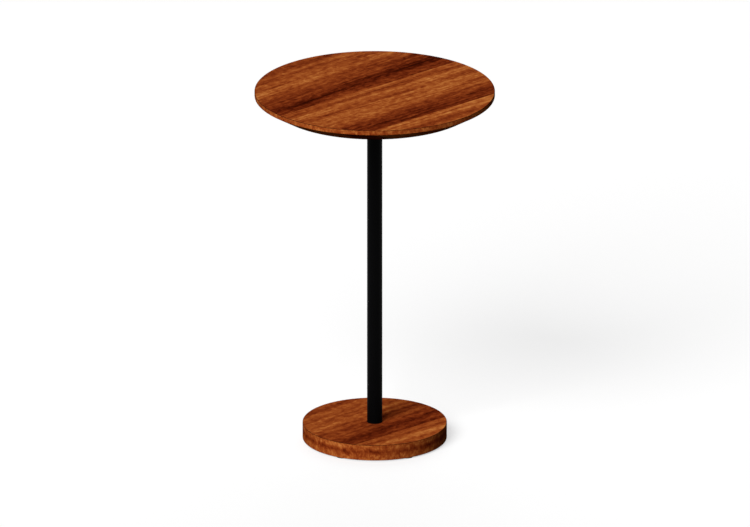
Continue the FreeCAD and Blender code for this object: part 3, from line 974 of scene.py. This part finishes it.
# %% [markdown]
# ## Screws and washers
# Four button-head screws with hexagon sockets hold the plate to the top. One larger screw of the
# same pattern draws the tube into its socket from below. Both come from one outline: the dome of
# the head is a corner with a large rounding, and three bars cut the socket.

# %% Screws with hexagon sockets
HEAD_EDGE = 0.5 * MM
TIP_CHAMFER = 0.8 * MM
DOME_STEPS = 12
SCREW_SEGMENTS = 48
# Radii of head and thread, and the width and depth of the socket for the key.
PLATE_SCREW = {"head": 5.25 * MM, "thread": 3 * MM, "key": 4 * MM, "key_depth": 2 * MM}
POST_BOLT = {"head": 7 * MM, "thread": 4 * MM, "key": 5 * MM, "key_depth": 2.6 * MM}


def button_screw(name, node, seat, head, thread, key, key_depth, **ring):
    """Screws whose thread points up and whose domed head hangs below its seat."""
    foot, tip = heights([node])
    corners = [
        (0, foot, 0),
        (head, foot, seat - foot - HEAD_EDGE),
        (head, seat, 0),
        (thread, seat, 0),
        (thread, tip - TIP_CHAMFER, 0),
        (thread - TIP_CHAMFER, tip, 0),
        (0, tip, 0),
    ]
    bar = (key, key / math.sqrt(3), 2 * key_depth)
    ring.update(Bars=3, Bar_size=bar, Bar_level=foot, Spin=1.0, Corner_steps=DOME_STEPS)
    screws = turn(name, corners, zinc, segments=SCREW_SEGMENTS, **ring)
    dress(screws, [node])


washer_foot = heights(["top_washers"])[0]
button_screw("plate_screws", "top_screws", washer_foot, **PLATE_SCREW, **on_plate)
bolt_seat = heights(["base_spring_washer"])[0]
button_screw("post_bolt", "base_bolt", bolt_seat, **POST_BOLT)

# %% [markdown]
# A wide washer under each head spreads its pull over the slot. Washers are punched from sheet and
# tumbled, which softens all their edges.

# %% Washers
TUMBLED_EDGE = 0.3 * MM
SCREW_HOLE = 3.05 * MM
WASHER_SEGMENTS = 64


def washer(name, node, bore, outside, **ring):
    """Flat washers with softened edges."""
    foot, top = heights([node])
    corners = [(bore, foot), (outside, foot), (outside, top), (bore, top)]
    corners = [(radius, level, TUMBLED_EDGE) for radius, level in corners]
    washers = turn(name, corners, zinc, ring=True, segments=WASHER_SEGMENTS, **ring)
    dress(washers, [node])


washer("plate_washers", "top_washers", SCREW_HOLE, circle_of(["top_washers"])[1], **on_plate)
washer("bolt_washer", "base_washer", *radii(["base_washer"]))

# %% [markdown]
# Three countersunk wood screws hold the ballast. Their heads lie in its countersinks, flush with
# its underside, and two bars cut the cross slot.

# %% Wood screws of the ballast
CROSS_SLOT = (4.6 * MM, 1.0 * MM, 3.2 * MM)
POINT_LENGTH = 3 * MM

screw_foot = heights(["ballast_screws"])[0]
wood_screw = [
    (0, screw_foot, 0),
    (ballast_head, screw_foot, 0),
    (ballast_head, screw_foot + HEAD_RIM, 0),
    (WOOD_SCREW_RADIUS, cone_top, 0),
    (WOOD_SCREW_RADIUS, ballast_tip - POINT_LENGTH, 0),
    (0, ballast_tip, 0),
]
slot = {"Bars": 2, "Bar_size": CROSS_SLOT, "Bar_level": screw_foot, "Spin": 1.5}
wood_screws = turn(
    "ballast_wood_screws", wood_screw, zinc, segments=SCREW_SEGMENTS, **slot, **on_ballast
)
dress(wood_screws, ["ballast_screws"])

# %% [markdown]
# ## Felt pads
# Six discs of pressed felt stop the base from scratching the floor. Felt is firm and is cut with a
# punch, so a pad is a disc with a worn lower edge. They are one piece from the lathe.

# %% Felt pads
WORN_EDGE = 0.5 * MM
PUNCHED_EDGE = 0.2 * MM
PAD_SEGMENTS = 64

pad_circle, pad_radius = circle_of(PADS)
pad_foot, pad_top = heights(PADS)
pad = [
    (0, pad_foot, 0),
    (pad_radius, pad_foot, WORN_EDGE),
    (pad_radius, pad_top, PUNCHED_EDGE),
    (0, pad_top, 0),
]
pads = turn(
    "felt_pads", pad, felt, segments=PAD_SEGMENTS, Count=len(PADS), Circle_radius=pad_circle
)
dress(pads, PADS)

# %% [markdown]
# ## Pieces that stay as solids
# The inserts in the timber, the plug in the tube and the split washer above the bolt's head can
# hardly be seen, so their solids only take a finish.

# %% Finish the hidden solids
hidden = ["top_inserts", "post_plug", "base_spring_washer"]
for node in hidden:
    for material_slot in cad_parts[node].material_slots:
        material_slot.material = zinc
print("zinc on the solids of", ", ".join(hidden))

# %% [markdown]
# ## Floor
# The floor is a wide white disc. It is open where the base hides it, so that a look from below
# finds the ballast and the pads, and it lies a hair below the pads, so that no two faces share a
# plane.

# %% Lay the floor
FLOOR_RADIUS = 12.0
FLOOR_OPENING = base_radius - 6 * MM
FLOOR_LEVEL = -0.1 * MM
FLOOR_SEGMENTS = 64

floor_mesh = bpy.data.meshes.new("floor")
work = bmesh.new()
for radius in (FLOOR_RADIUS, FLOOR_OPENING):
    bmesh.ops.create_circle(work, segments=FLOOR_SEGMENTS, radius=radius)
ring = bmesh.ops.bridge_loops(work, edges=work.edges[:])["faces"]
if ring[0].normal.z < 0:
    bmesh.ops.reverse_faces(work, faces=ring)
work.to_mesh(floor_mesh)
work.free()
floor = link_mesh("floor", floor_mesh)
floor.location.z = FLOOR_LEVEL
print(f"floor: {len(floor_mesh.polygons)} faces")

# %% [markdown]
# A white floor would throw light up at the bevel and the sides, which are dark in the picture. So
# only the rays that show it to the eye, straight or in a reflection, see it white, and for the
# light that bounces off it, it is a dark studio floor. Part of the white is a glow, as in a
# photographer's light tent, which leaves the shadow faint. The floor's underside lets the eye
# through.

# %% Finish of the floor
FLOOR_BOUNCE = "#4A4A4A"
WHITE = "#FFFFFF"
FLOOR_GLOW = 0.6


def shown_to_eye(tree):
    """1 for a ray that goes to the eye straight, by a reflection or through glass, and else 0."""
    ray = add_node(tree, "ShaderNodeLightPath")
    shown = ray["Is Camera Ray"]
    for way in ("Is Glossy Ray", "Is Transmission Ray"):
        shown = add_node(tree, "ShaderNodeMath", {0: shown, 1: ray[way]}, operation="MAXIMUM")[0]
    return shown


studio_floor = empty_material("studio_floor")
tree = studio_floor.node_tree
bounce = add_node(tree, "ShaderNodeBsdfDiffuse", {"Color": linear(FLOOR_BOUNCE)})[0]
white = add_node(tree, "ShaderNodeBsdfDiffuse", {"Color": linear(WHITE)})[0]
glow = add_node(tree, "ShaderNodeEmission", {"Color": linear(WHITE), "Strength": 1.0})[0]
white = add_node(tree, "ShaderNodeMixShader", {0: FLOOR_GLOW, 1: white, 2: glow})[0]
upper = add_node(tree, "ShaderNodeMixShader", {0: shown_to_eye(tree), 1: bounce, 2: white})[0]
under = add_node(tree, "ShaderNodeNewGeometry")["Backfacing"]
clear = add_node(tree, "ShaderNodeBsdfTransparent")[0]
both = add_node(tree, "ShaderNodeMixShader", {0: under, 1: upper, 2: clear})[0]
add_node(tree, "ShaderNodeOutputMaterial", {"Surface": both})
floor_mesh.materials.append(studio_floor)
print(f"floor finish: {len(tree.nodes)} nodes")

# %% [markdown]
# ## Light
# The key light stands at the front left and a weaker one behind, so the right side and the bevel
# stay dark. Suns give the same light everywhere on the floor, which stays evenly white, and a wide
# sun has soft shadows. A level card gets light of strength 1 from lamps and room together, so
# colours come out about as they are written.

# %% Lamps
LEVEL_CARD = math.pi  # light on a surface that makes it show its own colour
# Direction round the table from the front, height, share of the light on a level card, and width.
LAMPS = {
    "key_light": (-30, 40, 0.78, 36),
    "back_light": (180, 42, 0.2, 50),
}

for name, (azimuth, elevation, share, width) in LAMPS.items():
    lamp = bpy.data.lights.new(name, "SUN")
    lamp.angle = math.radians(width)
    lamp.energy = LEVEL_CARD * share / math.sin(math.radians(elevation))
    holder = bpy.data.objects.new(name, lamp)
    holder.rotation_euler = (math.radians(90 - elevation), 0, math.radians(azimuth))
    bpy.context.scene.collection.objects.link(holder)
    print(f"{name}: energy {lamp.energy:.2f}")

# %% [markdown]
# The room adds very little light of its own, but the eye sees it white.

# %% Room
ROOM_LIGHT = 0.04

world = bpy.data.worlds.new("studio")
bpy.context.scene.world = world
world.use_nodes = True
tree = world.node_tree
tree.nodes.clear()
room = {"Value": shown_to_eye(tree), "To Min": ROOM_LIGHT, "To Max": 1.0}
sky = {"Color": linear(WHITE), "Strength": add_node(tree, "ShaderNodeMapRange", room)[0]}
add_node(tree, "ShaderNodeOutputWorld", {"Surface": add_node(tree, "ShaderNodeBackground", sky)[0]})
bpy.context.scene.view_settings.view_transform = "Standard"
print(f"room: {ROOM_LIGHT} of the light")
